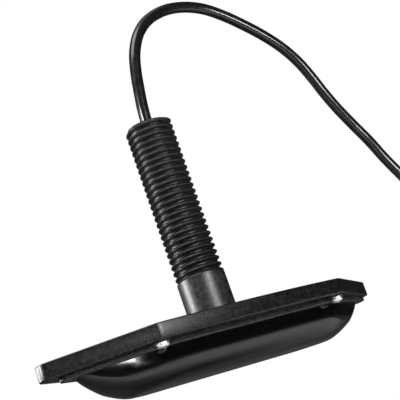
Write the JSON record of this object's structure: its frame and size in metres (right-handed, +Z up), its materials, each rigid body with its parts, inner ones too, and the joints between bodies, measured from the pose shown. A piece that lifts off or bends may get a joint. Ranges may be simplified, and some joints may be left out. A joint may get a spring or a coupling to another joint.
{
  "type": "sonar transducer",
  "caption": "Through-hull sonar transducer: a boat-shaped mounting plate with a threaded stem above, a glossy canoe-shaped pod below, and a coiled cable with a round connector.",
  "frame": {"origin": "centre of the mounting plate's top face, where the plate seats on the hull and the stem's smooth shank begins", "axes": "+Z up along the stem into the hull, +X along the plate towards the end where the pod is shifted, +Y across the plate"},
  "size_m": [0.4642, 0.1316, 0.3263],
  "materials": {
    "plate_plastic": "fine moulded texture",
    "stem_plastic": "satin glass-filled moulding",
    "pod_plastic": "polished",
    "seal_rubber": "matte",
    "stainless": "bright passivated",
    "potting": "cast resin",
    "carrier": "foamed plastic",
    "ceramic": "fired and silvered ceramic",
    "backing": "cork and rubber sheet",
    "sensor_case": "moulded",
    "lead_sleeve": "insulated wire",
    "board": "solder mask",
    "ferrite": "sintered",
    "capacitor_can": "sleeved can",
    "cable_jacket": "smooth glossy jacket",
    "copper": "tinned copper",
    "tie_fabric": "woven hook and loop",
    "plug_plastic": "moulded",
    "insert_plastic": "moulded",
    "contact_gold": "gold flash"
  },
  "bodies": {
    "root": {"mounting_plate": "plate_plastic", "threaded_stem": "stem_plastic", "stem_seal_ring": "seal_rubber", "stem_screws": "stainless", "stem_plug": "seal_rubber", "stem_potting": "potting", "pod_shell": "pod_plastic", "pod_seal": "seal_rubber", "pod_screws": "stainless", "array_carrier": "carrier", "port_scan_bar": "ceramic", "starboard_scan_bar": "ceramic", "down_scan_bar": "ceramic", "down_bar_backing": "backing", "sonar_disc": "ceramic", "disc_backing": "backing", "temperature_sensor": "sensor_case", "element_leads": "lead_sleeve", "circuit_board": "board", "board_screws": "stainless", "matching_transformers": "ferrite", "capacitors": "capacitor_can", "signal_chip": "sensor_case", "cable_inner": "cable_jacket", "cable_cores": "copper", "cable_lead": "cable_jacket", "cable_coil": "cable_jacket", "cable_tail": "cable_jacket", "cable_tie": "tie_fabric", "connector_shell": "plug_plastic", "connector_insert": "insert_plastic", "connector_contacts": "contact_gold"}
  },
  "joints": []
}
